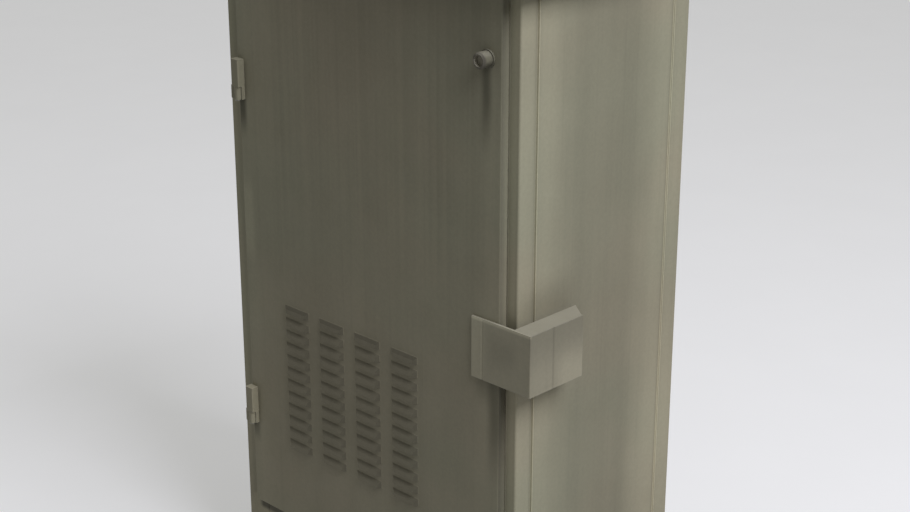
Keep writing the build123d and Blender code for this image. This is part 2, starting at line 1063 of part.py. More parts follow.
def main_switch_handle():
    """The turning handle: a dial with a raised grip across it, and its shaft."""
    seat = switch_face - switch_gap
    dial_face = seat - switch_dial
    middle = Pos(switch_x, switch_z)
    handle = along_y(middle * Circle(switch_dial_radius), dial_face, seat)
    grip = middle * SlotOverall(switch_grip_length, switch_grip_width, rotation=90)
    handle += along_y(grip, dial_face - switch_grip, dial_face)
    return handle + along_y(middle * Circle(switch_shaft_radius), seat, seat + switch_shaft)


earth_z = plate_bottom + earth_bar_above_plate_bottom
earth_end = plate_edge - earth_bar_from_plate_edge
earth_back = plate_front - earth_stand


def earth_bar():
    """The bar that joins the earth wires."""
    rise = earth_bar_height / 2
    face = earth_back - earth_bar_thick
    return block(-earth_end, earth_end, face, earth_back, earth_z - rise, earth_z + rise)


def earth_stand_piece(side):
    """A six-sided stand between the mounting plate and the earth bar."""
    middle = side * (earth_end - earth_stand_from_end)
    return along_y(hexagon(middle, earth_z, earth_stand_across), earth_back, plate_front)


def earth_screws():
    """The row of clamping screws along the earth bar."""
    seat = earth_back - earth_bar_thick
    first = -(earth_screw_count - 1) * earth_screw_pitch / 2
    heads = [
        hexagon(first + n * earth_screw_pitch, earth_z, earth_screw_across)
        for n in range(earth_screw_count)
    ]
    return Compound(children=[along_y(head, seat - earth_screw_head, seat) for head in heads])


def cable_clamp_rail():
    """The slotted rail low across the channels, for cable clamps."""
    z = floor + clamp_rail_level
    half = clamp_rail_height / 2
    lip = half - clamp_rail_lip
    face = plate_back - clamp_rail_depth
    section = folded(
        [
            (face, z + lip),
            (face, z + half),
            (plate_back, z + half),
            (plate_back, z - half),
            (face, z - half),
            (face, z - lip),
        ],
        -frame_sheet,
    )
    return along_x(section, -rail_right, rail_right)


# The whole cabinet
flip_x = Plane.YZ
flip_y = Plane.XZ
cable_slot_middle = flip_y.offset(-(entry_front + entry_back) / 2)
pieces = {
    "plinth_rear": plinth_beam(),
    "plinth_front": mirror(plinth_beam(), about=flip_y),
    "plinth_right": plinth_side(),
    "plinth_left": mirror(plinth_side(), about=flip_x),
    "floor_tray": floor_tray(),
    "gland_plate": gland_plate(),
    "cable_seal_rear": cable_seal(),
    "cable_seal_front": mirror(cable_seal(), about=cable_slot_middle),
    "front_right_post": front_post(door_right_margin + door_overlap),
    "front_left_post": mirror(front_post(door_left_margin + door_overlap), about=flip_x),
    "rear_right_post": rear_post(),
    "rear_left_post": mirror(rear_post(), about=flip_x),
    "door_sill": front_rail(floor, open_bottom),
    "door_header": front_rail(open_top, body_top),
    "right_side_panel": side_panel(),
    "left_side_panel": mirror(side_panel(), about=flip_x),
    "rear_panel": rear_panel(),
    "top_panel": top_panel(),
    "roof_rail_right": roof_rail(),
    "roof_rail_left": mirror(roof_rail(), about=flip_x),
    "roof": roof(),
    "mount_rail_right": mount_rail(),
    "mount_rail_left": mirror(mount_rail(), about=flip_x),
    "mounting_plate": mounting_plate(),
    "upper_din_rail": din_rail(upper_din_z),
    "lower_din_rail": din_rail(lower_din_z),
    "main_switch_body": main_switch_body(),
    "main_switch_handle": main_switch_handle(),
    "earth_bar": earth_bar(),
    "earth_stand_left": earth_stand_piece(-1),
    "earth_stand_right": earth_stand_piece(1),
    "earth_screws": earth_screws(),
    "cable_clamp_rail": cable_clamp_rail(),
    "upper_hinge_frame_leaf": hinge_frame_leaf(upper_hinge_height),
    "lower_hinge_frame_leaf": hinge_frame_leaf(lower_hinge_height),
    "upper_hinge_pin": hinge_pin(upper_hinge_height),
    "lower_hinge_pin": hinge_pin(lower_hinge_height),
    "padlock_staple": padlock_staple(),
    "door_panel": door_panel(),
    "door_stiffener_left": door_stiffener(stiffener_left),
    "door_stiffener_right": door_stiffener(stiffener_right),
    "filter_frame": filter_frame(),
    "filter_mat": filter_mat(),
    "door_seal": door_seal(),
    "upper_hinge_door_leaf": hinge_door_leaf(upper_hinge_height),
    "lower_hinge_door_leaf": hinge_door_leaf(lower_hinge_height),
    "lock_housing": lock_housing(),
    "lock_nut": lock_nut_piece(),
    "lock_guard": lock_guard(),
    "padlock_lug": padlock_lug(),
    "lock_knob": lock_knob(),
    "lock_cam": lock_cam(),
    "cam_screw": cam_screw(),
}
for number in range(terminal_count):
    pieces[f"terminal_{number + 1}"] = terminal(number)

for name, piece in pieces.items():
    export_step(piece, f"parts/{name}.step")
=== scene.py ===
import json
import math

import bpy
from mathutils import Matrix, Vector


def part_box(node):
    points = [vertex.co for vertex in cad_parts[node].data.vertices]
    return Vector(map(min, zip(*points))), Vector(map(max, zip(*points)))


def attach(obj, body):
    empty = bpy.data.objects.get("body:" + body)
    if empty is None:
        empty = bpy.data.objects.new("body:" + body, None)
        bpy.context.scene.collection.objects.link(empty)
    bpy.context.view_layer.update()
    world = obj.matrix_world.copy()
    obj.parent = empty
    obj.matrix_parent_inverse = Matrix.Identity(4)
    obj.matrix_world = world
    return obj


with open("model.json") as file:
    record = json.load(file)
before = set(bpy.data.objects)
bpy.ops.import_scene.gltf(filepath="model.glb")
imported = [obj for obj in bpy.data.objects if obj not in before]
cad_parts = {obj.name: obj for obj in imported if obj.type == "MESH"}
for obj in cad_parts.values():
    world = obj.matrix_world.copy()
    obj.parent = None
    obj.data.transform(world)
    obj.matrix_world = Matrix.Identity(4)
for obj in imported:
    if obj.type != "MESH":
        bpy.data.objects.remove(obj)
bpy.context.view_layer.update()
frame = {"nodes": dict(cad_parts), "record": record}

# Camera, at the photograph's view
camera_place = (2.19129, -2.22122, 1.89844)
camera_pitch = 69.587
camera_turn = 44.468
camera_lens = 68.52
sensor_width = 36.0

# Light and floor
sky_strength = 0.25
backdrop_strength = 0.8
key_place = (3.7, -0.5, 4.7)
key_size = 2.6
key_power = 243.0
key_colour = (0.985, 0.99, 1.11)
key_target = (0.2, 0.0, 0.7)
floor_radius = 16.0
floor_sides = 96
floor_colour = (0.62, 0.62, 0.61)
floor_glow = (1.0, 1.0, 0.99)
floor_lift = 0.36
floor_roughness = 0.9

# Colours of the paints, and of the dirt, painted shade and painted light on them, linear
paint_brown = (0.220, 0.201, 0.138)
paint_green = (0.210, 0.203, 0.139)
guard_brown = (0.250, 0.231, 0.163)
guard_green = (0.240, 0.232, 0.163)
plinth_brown = (0.180, 0.166, 0.122)
plinth_green = (0.168, 0.165, 0.121)
dust = (0.31, 0.293, 0.224)
bare_steel = (0.34, 0.33, 0.30)
grime_and_shade = (0.060, 0.054, 0.042)
stain_and_shadow = (0.056, 0.053, 0.033)
wall_mud = (0.13, 0.117, 0.085)
plinth_mud = (0.15, 0.131, 0.098)
knob_face = (0.082, 0.075, 0.057)
key_hole_light = (0.32, 0.298, 0.23)

# Colours of the metals, rubber, fleece and plastics, linear
zinc_sheet = (0.47, 0.48, 0.48)
white_stain = (0.58, 0.58, 0.56)
sheet_dirt_and_shade = (0.14, 0.13, 0.12)
bright_plating = (0.50, 0.50, 0.48)
dull_plating = (0.36, 0.35, 0.32)
plating_dirt_and_shade = (0.12, 0.11, 0.10)
plating_outdoors = (0.11, 0.10, 0.075)
black_rubber = (0.022, 0.022, 0.023)
rubber_bloom = (0.075, 0.074, 0.070)
grey_fleece = (0.15, 0.15, 0.14)
fleece_dirt = (0.085, 0.075, 0.06)
yellow_brass = (0.55, 0.40, 0.16)
brass_tarnish = (0.26, 0.16, 0.06)
switch_grey = (0.42, 0.43, 0.43)
handle_black = (0.028, 0.028, 0.030)
terminal_beige = (0.36, 0.35, 0.30)
stand_brown = (0.12, 0.10, 0.09)
plastic_dust = (0.26, 0.25, 0.22)
pointer_white = (0.62, 0.61, 0.57)
yellowing = (1.05, 0.97, 0.80)

# Lines on the cabinet that the weathering follows, in metres
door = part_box("door_panel")
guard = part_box("lock_guard")
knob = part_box("lock_knob")
upper_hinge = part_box("upper_hinge_door_leaf")
lower_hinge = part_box("lower_hinge_door_leaf")
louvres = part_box("filter_mat")
housing_flange = 0.003
door_sheet_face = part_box("lock_housing")[0].y + housing_flange
front_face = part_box("front_right_post")[0].y
side_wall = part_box("right_side_panel")
side_start, side_end = 0.366, 0.369
groove_half = 0.0045
guard_crease = guard[0].y + 0.0595

# Tone of the painted body, as a share of the walls' middle; the faces off the side walls are painted
# paler as painted light, and the walls get a painted highlight toward the grooves
front_light_tone = 1.4
roof_tone = 1.2
highlight_gain = 0.34

# Sizes of the fasteners, in metres
screw_m5 = {
    "Radius": 0.0045,
    "Height": 0.0028,
    "Recess length": 0.0052,
    "Recess width": 0.0011,
    "Recess depth": 0.0014,
}
screw_m4 = {
    "Radius": 0.0030,
    "Height": 0.0016,
    "Recess length": 0.0044,
    "Recess width": 0.0009,
    "Recess depth": 0.0008,
}
rivet = {
    "Radius": 0.0028,
    "Height": 0.0014,
    "Recess length": 0.0009,
    "Recess width": 0.0009,
    "Recess depth": 0.0007,
}
bolt_m8 = {
    "Radius": 0.0075,
    "Height": 0.0053,
    "Washer radius": 0.0088,
    "Washer thickness": 0.0016,
}
stem_share = 0.8
crown_taper = 0.84
head_seed = 7

# Ways that the fasteners face
outward = (0.0, -1.0, 0.0)
inward = (0.0, 1.0, 0.0)
up = (0.0, 0.0, 1.0)
down = (0.0, 0.0, -1.0)


class Finish:
    """A finish, whose nodes read the cabinet's own coordinates."""

    def __init__(self, name, tone, metallic=0.0, specular=0.4):
        self.material = bpy.data.materials.new(name)
        self.material.use_nodes = True
        self.nodes = self.material.node_tree.nodes
        self.links = self.material.node_tree.links
        self.shader = self.nodes["Principled BSDF"]
        self.shader.inputs["Metallic"].default_value = metallic
        self.shader.inputs["Specular IOR Level"].default_value = specular
        self.place = self.nodes.new("ShaderNodeTexCoord").outputs["Object"]
        split = self.nodes.new("ShaderNodeSeparateXYZ")
        self.put(split.inputs[0], self.place)
        self.x, self.y, self.z = split.outputs
        self.tone = tone
        self.normal = None

    def put(self, socket, value):
        """A socket takes a number, a colour or another node's result."""
        if isinstance(value, bpy.types.NodeSocket):
            self.links.new(value, socket)
        elif socket.type == "RGBA" and len(value) == 3:
            socket.default_value = (*value, 1.0)
        else:
            socket.default_value = value

    def calc(self, operation, *values):
        """An operation on one to three numbers."""
        node = self.nodes.new("ShaderNodeMath")
        node.operation = operation
        for socket, value in zip(node.inputs, values):
            self.put(socket, value)
        return node.outputs[0]

    def ramp(self, value, low, high, start=0.0, end=1.0):
        """A soft step from start to end while the value goes from low to high."""
        node = self.nodes.new("ShaderNodeMapRange")
        node.interpolation_type = "SMOOTHSTEP"
        for socket, number in zip(node.inputs[:5], (value, low, high, start, end)):
            self.put(socket, number)
        return node.outputs[0]

    def stretched(self, stretch):
        """The cabinet's coordinates, drawn out where stretch is small."""
        node = self.nodes.new("ShaderNodeMapping")
        self.put(node.inputs["Vector"], self.place)
        node.inputs["Scale"].default_value = stretch
        return node.outputs[0]

    def noise(self, scale, detail=3.0, stretch=(1.0, 1.0, 1.0), roughness=0.5):
        """Cloudy noise, scale to the metre."""
        node = self.nodes.new("ShaderNodeTexNoise")
        self.put(node.inputs["Vector"], self.stretched(stretch))
        node.inputs["Scale"].default_value = scale
        node.inputs["Detail"].default_value = detail
        node.inputs["Roughness"].default_value = roughness
        return node.outputs[0]

    def cells(self, scale):
        """A different number in each cell of a broken pattern."""
        node = self.nodes.new("ShaderNodeTexVoronoi")
        self.put(node.inputs["Vector"], self.place)
        node.inputs["Scale"].default_value = scale
        split = self.nodes.new("ShaderNodeSeparateColor")
        self.put(split.inputs[0], node.outputs["Color"])
        return split.outputs[0]

    def mix(self, share, first, second):
        """One colour going over into another."""
        node = self.nodes.new("ShaderNodeMix")
        node.data_type = "RGBA"
        self.put(node.inputs[0], share)
        self.put(node.inputs[6], first)
        self.put(node.inputs[7], second)
        return node.outputs[2]

    def between(self, value, low, high, soft):
        """One between low and high, fading to zero over soft on both sides."""
        rise = self.ramp(value, low - soft, low + soft)
        fall = self.ramp(value, high + soft, high - soft)
        return self.calc("MULTIPLY", rise, fall)

    def meet(self, first, *others):
        """Where two or more masks meet."""
        for mask in others:
            first = self.calc("MULTIPLY", first, mask)
        return first

    def cover(self, mask, colour, share=None):
        """Lays a colour over the tone so far, under the mask or a share of it."""
        if share is not None:
            mask = self.calc("MULTIPLY", mask, share)
        self.tone = self.mix(mask, self.tone, colour)

    def shade(self, factor):
        """Makes the tone so far darker or lighter."""
        node = self.nodes.new("ShaderNodeVectorMath")
        node.operation = "SCALE"
        self.put(node.inputs[0], self.tone)
        self.put(node.inputs["Scale"], factor)
        self.tone = node.outputs[0]

    def lighten(self, mask, gain):
        """Adds a share of the tone to it under a mask."""
        self.shade(self.calc("MULTIPLY_ADD", mask, gain, 1.0))

    def darken(self, mask, loss):
        """Takes a share of the tone away under a mask."""
        self.lighten(mask, -loss)

    def wander(self, reach):
        """A slow drift to either side, by half of reach at most."""
        return self.calc("MULTIPLY_ADD", self.noise(8.0, detail=2.0), reach, -reach / 2)

    def facing(self, axis, low=0.35, high=0.9):
        """One on faces that look along an axis, going from low to high with their slant."""
        split = self.nodes.new("ShaderNodeSeparateXYZ")
        self.put(split.inputs[0], self.nodes.new("ShaderNodeNewGeometry").outputs["Normal"])
        return self.ramp(split.outputs["XYZ".index(axis)], low, high)

    def crevice(self, reach):
        """One deep in corners and gaps, zero in the open, found by ambient occlusion: what is laid on
        with it is painted shade as well as dirt.
        """
        node = self.nodes.new("ShaderNodeAmbientOcclusion")
        node.samples = 4
        node.inputs["Distance"].default_value = reach
        return self.ramp(node.outputs["AO"], 0.95, 0.25)

    def edge(self, radius):
        """One along outward edges."""
        bevel = self.nodes.new("ShaderNodeBevel")
        bevel.samples = 4
        bevel.inputs["Radius"].default_value = radius
        node = self.nodes.new("ShaderNodeVectorMath")
        node.operation = "DOT_PRODUCT"
        self.put(node.inputs[0], bevel.outputs[0])
        self.put(node.inputs[1], self.nodes.new("ShaderNodeNewGeometry").outputs["True Normal"])
        return self.ramp(node.outputs["Value"], 0.97, 0.80)

    def relief(self, height, depth, strength):
        """Raises the surface by up to depth where height is one."""
        node = self.nodes.new("ShaderNodeBump")
        node.inputs["Strength"].default_value = strength
        node.inputs["Distance"].default_value = depth
        self.put(node.inputs["Height"], height)
        if self.normal is not None:
            self.put(node.inputs["Normal"], self.normal)
        self.normal = node.outputs[0]

    def done(self, roughness):
        """Joins the tone, the roughness and the relief to the shader."""
        self.put(self.shader.inputs["Base Color"], self.tone)
        self.put(self.shader.inputs["Roughness"], roughness)
        if self.normal is not None:
            self.put(self.shader.inputs["Normal"], self.normal)
        return self.material


def old_paint(name, brown, green):
    """Weathered matt paint on sheet steel: clouded, mottled and faintly streaked by rain."""
    finish = Finish(name, brown, specular=0.18)
    clouds = finish.noise(2.3, detail=3.0)
    finish.cover(finish.ramp(clouds, 0.36, 0.64), green)
    patches = finish.noise(6.0, detail=4.0)
    finish.shade(finish.ramp(patches, 0.30, 0.70, start=0.965, end=1.035))
    mottle = finish.noise(150.0, detail=5.0, roughness=0.7)
    finish.shade(finish.ramp(mottle, 0.30, 0.70, start=0.965, end=1.035))
    rain = finish.noise(1.0, detail=3.0, stretch=(24.0, 24.0, 0.7), roughness=0.55)
    finish.shade(finish.ramp(rain, 0.34, 0.70, start=1.02, end=0.965))
    thin_rain = finish.noise(1.0, detail=2.0, stretch=(150.0, 150.0, 2.2))
    finish.shade(finish.ramp(thin_rain, 0.55, 0.78, start=1.0, end=0.955))
    finish.relief(finish.noise(620.0, detail=2.0), depth=0.00012, strength=0.35)
    return finish


def paint_done(finish, dusty=0.7, shade_and_dirt=0.3):
    """The dust, the corner dirt with painted shade in corners and gaps, and the dull sheen that all
    painted pieces share.
    """
    settled = finish.ramp(finish.noise(26.0, detail=4.0), 0.25, 0.6, start=dusty * 0.65, end=dusty)
    finish.cover(finish.meet(finish.facing("Z"), settled), dust)
    # dirt and painted shade in corners and gaps, where ambient occlusion finds them
    caught_dirt_and_shade = finish.ramp(finish.noise(55.0, detail=4.0), 0.25, 0.65, start=shade_and_dirt * 0.4, end=shade_and_dirt)
    finish.cover(finish.meet(finish.crevice(0.012), caught_dirt_and_shade), grime_and_shade)
    sheen = finish.noise(19.0, detail=4.0)
    return finish.done(finish.ramp(sheen, 0.3, 0.7, start=0.59, end=0.68))


def tone_walls(finish, sideways, depth, on_sides):
    """Walls with a painted highlight toward the grooves, with tones of their own for the front and the
    roof, the front's paler tone being painted light.
    """
    # painted highlight on the walls, growing toward the grooves
    near_groove = finish.ramp(finish.calc("ADD", depth, finish.wander(0.03)), 0.055, 0.165)
    highlighted = finish.calc("MULTIPLY_ADD", near_groove, highlight_gain, 1.0)
    # the faces off the side walls painted paler, as painted light
    paler = finish.calc("ADD", highlighted, -front_light_tone)
    walls = finish.calc("MULTIPLY_ADD", on_sides, paler, front_light_tone)
    past_side = finish.ramp(sideways, side_wall[1].x + 0.003, side_wall[1].x + 0.006)
    past_front = finish.ramp(depth, 0.003 - front_face, 0.006 - front_face)
    on_top = finish.ramp(finish.z, side_wall[1].z + 0.010, side_wall[1].z + 0.013)
    on_roof = finish.calc("MAXIMUM", finish.calc("MAXIMUM", past_side, past_front), on_top)
    to_roof = finish.calc("SUBTRACT", roof_tone, walls)
    finish.shade(finish.calc("MULTIPLY_ADD", on_roof, to_roof, walls))


def shade_and_light_grooves(finish, on_sides):
    """Painted shade along the upright grooves, and painted light on their forward walls."""
    # a soft band of painted shade along each upright groove
    for groove in (side_wall[0].y - groove_half, side_wall[1].y + groove_half):
        along = finish.between(finish.y, groove - groove_half, groove + groove_half, soft=0.009)
        finish.darken(finish.meet(on_sides, along), loss=0.15)
    # painted light on the grooves' forward walls
    behind_front = finish.ramp(finish.y, front_face + 0.008, front_face + 0.012)
    groove_wall = finish.meet(behind_front, finish.facing("Y", -0.3, -0.7))
    finish.lighten(groove_wall, gain=0.9)


def shade_round_door(finish):
    """Painted light on the frame's strip beside the lock edge, painted shade on its strip beside the
    hinge edge, and a painted shadow on the sill below the door.
    """
    on_front = finish.ramp(finish.y, front_face + 0.003, front_face + 0.001)
    door_height = finish.between(finish.z, door[0].z, door[1].z, soft=0.006)
    beside_door = finish.meet(on_front, door_height)
    # painted light on the frame strip beside the lock edge
    lock_gap = finish.between(finish.x, door[1].x - 0.012, door[1].x + 0.001, soft=0.001)
    finish.lighten(finish.meet(beside_door, lock_gap), gain=0.5)
    # painted shade on the frame strip beside the hinge edge
    hinge_gap = finish.between(finish.x, door[0].x - 0.032, door[0].x - 0.018, soft=0.008)
    finish.darken(finish.meet(beside_door, hinge_gap), loss=0.16)
    # a painted shadow on the sill below the door's bottom edge
    shadow_length = finish.between(finish.x, door[0].x - 0.008, door[1].x - 0.002, soft=0.008)
    shadow_floor = finish.ramp(finish.z, door[0].z - 0.032, door[0].z - 0.021)
    shadow_top = finish.ramp(finish.z, door[0].z + 0.006, door[0].z)
    finish.darken(finish.meet(on_front, shadow_length, shadow_floor, shadow_top), loss=0.72)


def shade_round_guard(finish):
    """Painted shade on the right wall above and behind the padlock guard."""
    # painted shade on the right wall above and behind the guard
    on_right = finish.ramp(finish.x, side_start, side_end)
    over_y = finish.between(finish.y, guard[0].y + 0.03, guard[1].y - 0.005, soft=0.045)
    over_z = finish.between(finish.z, guard[1].z, guard[1].z + 0.040, soft=0.045)
    finish.darken(finish.meet(on_right, over_y, over_z), loss=0.34)
    behind_y = finish.between(finish.y, guard[1].y - 0.05, guard[1].y + 0.03, soft=0.035)
    behind_z = finish.between(finish.z, guard[0].z + 0.02, guard[1].z - 0.01, soft=0.03)
    finish.darken(finish.meet(on_right, behind_y, behind_z), loss=0.12)


def body_paint():
    """The frame, walls and roof: a painted highlight beside the grooves, painted light and shade round
    the door, the grooves and the guard, splashed near the ground.
    """
    finish = old_paint("body_paint", paint_brown, paint_green)
    sideways = finish.calc("ABSOLUTE", finish.x)
    depth = finish.calc("ABSOLUTE", finish.y)
    on_sides = finish.ramp(sideways, side_start, side_end)
    tone_walls(finish, sideways, depth, on_sides)
    shade_and_light_grooves(finish, on_sides)
    shade_round_door(finish)
    shade_round_guard(finish)
    low_rear = finish.meet(finish.ramp(depth, 0.06, 0.14), finish.ramp(finish.z, 0.66, 0.46))
    rear_sides = finish.meet(on_sides, finish.ramp(finish.y, 0.0, 0.06))
    finish.lighten(finish.meet(low_rear, rear_sides), gain=0.12)
    splash = finish.ramp(finish.z, 0.36, 0.12)
    spots = finish.ramp(finish.noise(24.0, detail=5.0), 0.35, 0.7, start=0.0, end=0.4)
    finish.cover(finish.meet(splash, spots), wall_mud)
    return paint_done(finish, shade_and_dirt=0.15)


def dark_below(finish, across, spread, top, drop, soft, share):
    """A dark mark on the door below a thing, used for stains and for painted shadow, as wide as
    spread, strongest at its top and gone after the drop.
    """
    foot = top - drop
    fall = finish.ramp(finish.z, foot, foot + drop * 0.75, start=0.0, end=share)
    below = finish.ramp(finish.z, top + 0.004, top - 0.004)
    finish.cover(finish.meet(finish.between(across, *spread, soft), fall, below), stain_and_shadow)


def stain_and_shade_door(finish, across):
    """The dark runs below the knob, the padlock guard and the hinges, the short wide one under the
    guard a painted shadow, and painted shade beside the hinges.
    """
    knob_x = (knob[0].x + knob[1].x) / 2 - 0.003
    spread = (knob_x - 0.0095, knob_x + 0.0085)
    dark_below(finish, across, spread, knob[0].z + 0.012, drop=0.177, soft=0.008, share=0.74)
    edge = door[1].x
    top = guard[0].z + 0.006
    dark_below(finish, across, (edge - 0.026, edge + 0.004), top, drop=0.246, soft=0.011, share=0.66)
    # a painted shadow on the door just under the guard
    dark_below(finish, across, (edge - 0.055, edge - 0.006), top, drop=0.066, soft=0.014, share=0.40)
    for hinge, drop, share in ((upper_hinge, 0.087, 0.92), (lower_hinge, 0.052, 0.6)):
        spread = (hinge[0].x + 0.001, hinge[1].x + 0.001)
        dark_below(finish, finish.x, spread, hinge[0].z + 0.002, drop, soft=0.007, share=share)
        # painted shade on the door beside each hinge
        beside_x = finish.between(finish.x, hinge[1].x - 0.004, hinge[1].x + 0.006, soft=0.006)
        beside_z = finish.between(finish.z, hinge[0].z, hinge[1].z - 0.008, soft=0.01)
        finish.darken(finish.meet(beside_x, beside_z), loss=0.20)


def streak_and_shade_door(finish, across):
    """Rain streaks on the upper half, one long dark line, and painted shade at the top, under the
    roof's edge.
    """
    streaks = finish.noise(1.0, detail=2.0, stretch=(55.0, 55.0, 0.4))
    rain = finish.ramp(streaks, 0.35, 0.65, start=-0.045, end=0.03)
    upper_half = finish.ramp(finish.z, 0.6, 1.0)
    finish.shade(finish.calc("ADD", finish.meet(rain, upper_half), 1.0))
    line_x = finish.between(across, 0.200, 0.206, soft=0.006)
    line_z = finish.between(finish.z, 0.80, 1.24, soft=0.08)
    finish.darken(finish.meet(line_x, line_z), loss=0.07)
    # painted shade at the top of the door, under the roof's edge
    top = finish.ramp(finish.z, 1.03, door[1].z - 0.05)
    finish.darken(finish.meet(top, finish.ramp(finish.x, -0.30, 0.02)), loss=0.17)


def light_and_shade_door_edges(finish):
    """Paler strips along both upright edges, the one on the lock side a painted highlight, strongest
    above the guard, and painted shade on the fold on the lock side, with a painted shadow on it below
    the guard.
    """
    left, right = door[0].x, door[1].x
    finish.shade(finish.ramp(finish.x, left + 0.07, left + 0.015, start=1.0, end=1.10))
    worn_x = finish.ramp(finish.x, left + 0.038, left + 0.020)
    worn_z = finish.between(finish.z, 0.72, 0.87, soft=0.03)
    finish.lighten(finish.meet(worn_x, worn_z), gain=0.20)
    # painted highlight along the lock edge, strongest above the guard
    above_guard = finish.ramp(finish.z, guard[0].z - 0.12, guard[0].z, start=0.04, end=0.13)
    finish.lighten(finish.ramp(finish.x, right - 0.075, right - 0.010), above_guard)
    # painted shade on the fold of the lock edge, less toward the frame
    fold = finish.ramp(finish.x, right - 0.003, right - 0.0005)
    toward_frame = finish.ramp(finish.y, door[0].y + 0.004, door[1].y, start=0.44, end=0.14)
    finish.shade(finish.calc("SUBTRACT", 1.0, finish.meet(fold, toward_frame)))
    # a painted shadow on the fold below the guard
    below_guard = finish.ramp(finish.z, guard[0].z + 0.02, guard[0].z - 0.02)
    finish.darken(finish.meet(fold, below_guard), loss=0.20)


def shade_louvres(finish):
    """The louvre field, darker, with darker hoods, painted shade on the hoods' right ends and upper
    slopes, and more painted shade on the top row.
    """
    field_x = finish.between(finish.x, louvres[0].x, louvres[1].x, soft=0.008)
    field_z = finish.between(finish.z, louvres[0].z, louvres[1].z, soft=0.010)
    finish.darken(finish.meet(field_x, field_z), loss=0.03)
    hoods = finish.ramp(finish.y, door_sheet_face - 0.0002, door_sheet_face - 0.001)
    finish.darken(hoods, loss=0.26)
    # painted shade on the hoods' faces turned to the right
    finish.darken(finish.meet(hoods, finish.facing("X", 0.2, 0.5)), loss=0.23)
    # painted shade on the hoods' upper slopes, and more on the top row's hoods
    slopes = finish.meet(hoods, finish.facing("Z", 0.25, 0.5))
    top_row = finish.ramp(finish.z, louvres[1].z - 0.034, louvres[1].z - 0.030)
    finish.darken(finish.meet(hoods, top_row), loss=0.10)
    slope_loss = finish.calc("MULTIPLY_ADD", top_row, 0.18, 0.10)
    finish.shade(finish.calc("SUBTRACT", 1.0, finish.meet(slopes, slope_loss)))


def door_paint():
    """The door: dark runs below the knob, the hinges and the guard, one of them a painted shadow,
    painted shade beside the hinges and at the top, and painted light and shade along the lock edge and
    on the louvres.
    """
    finish = old_paint("door_paint", paint_brown, paint_green)
    across = finish.calc("ADD", finish.x, finish.wander(0.010))
    stain_and_shade_door(finish, across)
    streak_and_shade_door(finish, across)
    light_and_shade_door_edges(finish)
    shade_louvres(finish)
    return paint_done(finish, dusty=0.0, shade_and_dirt=0.1)


def plinth_paint():
    """The plinth: darker paint with dried splashes and damp dirt at the foot."""
    finish = old_paint("plinth_paint", plinth_brown, plinth_green)
    spots = finish.ramp(finish.noise(30.0, detail=5.0), 0.3, 0.65)
    finish.cover(finish.meet(finish.ramp(finish.z, 0.11, 0.0), spots), plinth_mud, share=0.7)
    damp = finish.ramp(finish.noise(60.0, detail=5.0), 0.45, 0.66)
    finish.cover(finish.meet(finish.ramp(finish.z, 0.035, 0.0), damp), grime_and_shade, share=0.45)
    return paint_done(finish)


def guard_paint():
    """The padlock guard: paler paint, dusty on top, rubbed along its edges, with painted highlights on
    its top rim, its lower rear and its upward faces, and painted shade in its middle, under its top
    and in its crease.
    """
    finish = old_paint("guard_paint", guard_brown, guard_green)
    low, high = guard
    on_front = finish.ramp(finish.y, low.y + 0.004, low.y + 0.001)
    strip = finish.ramp(finish.x, low.x + 0.045, low.x + 0.006)
    finish.lighten(finish.meet(on_front, strip), gain=0.24)
    # painted highlight along the top rim of the front plate
    rim = finish.ramp(finish.z, high.z - 0.007, high.z - 0.002)
    finish.lighten(finish.meet(on_front, rim), gain=0.45)
    # painted shade in the middle of the front plate
    centre_x = finish.between(finish.x, low.x + 0.040, high.x - 0.035, soft=0.020)
    centre_z = finish.between(finish.z, low.z + 0.035, high.z - 0.025, soft=0.025)
    finish.darken(finish.meet(on_front, centre_x, centre_z), loss=0.16)
    # painted shade on the side plate, deepest under its top
    on_side = finish.ramp(finish.x, high.x - 0.004, high.x - 0.001)
    upward = finish.ramp(finish.z, low.z + 0.02, high.z - 0.01)
    finish.darken(finish.meet(on_side, upward), loss=0.23)
    # painted light on the lower rear of the side plate
    rear_half = finish.ramp(finish.y, guard_crease, guard_crease + 0.03)
    downward = finish.ramp(finish.z, high.z - 0.03, low.z + 0.02)
    finish.lighten(finish.meet(on_side, rear_half, downward), gain=0.20)
    # painted shade in the side plate's crease
    crease = finish.between(finish.y, guard_crease - 0.0025, guard_crease + 0.001, soft=0.002)
    finish.darken(finish.meet(on_side, crease), loss=0.20)
    # painted highlight on the faces turned up
    finish.lighten(finish.facing("Z"), gain=0.1)
    worn = finish.ramp(finish.noise(70.0, detail=4.0), 0.35, 0.62)
    finish.cover(finish.meet(finish.edge(0.0022), worn), bare_steel, share=0.5)
    return paint_done(finish, dusty=0.7, shade_and_dirt=0.1)


def hinge_metal():
    """The hinges: thick paint over cast steel, with painted highlights on the faces turned right and
    up, rubbed at the edges, dirt and painted shade in the joints.
    """
    finish = old_paint("hinge_metal", paint_brown, paint_green)
    # painted highlights on the faces turned to the right and up
    finish.lighten(finish.facing("X", 0.3, 0.8), gain=0.35)
    finish.lighten(finish.facing("Z"), gain=0.8)
    finish.shade(finish.ramp(finish.z, upper_hinge[0].z, lower_hinge[1].z, start=0.94, end=1.10))
    # dirt and painted shade in the joints, where ambient occlusion finds them
    packed_dirt_and_shade = finish.ramp(finish.noise(220.0, detail=4.0), 0.42, 0.62)
    finish.cover(finish.meet(finish.crevice(0.003), packed_dirt_and_shade), grime_and_shade, share=0.4)
    worn = finish.ramp(finish.noise(160.0, detail=4.0), 0.35, 0.6)
    finish.cover(finish.meet(finish.edge(0.0014), worn), bare_steel, share=0.5)
    casting = finish.noise(260.0, detail=4.0, roughness=0.65)
    finish.relief(casting, depth=0.0003, strength=0.5)
    return paint_done(finish, dusty=0.3, shade_and_dirt=0.0)


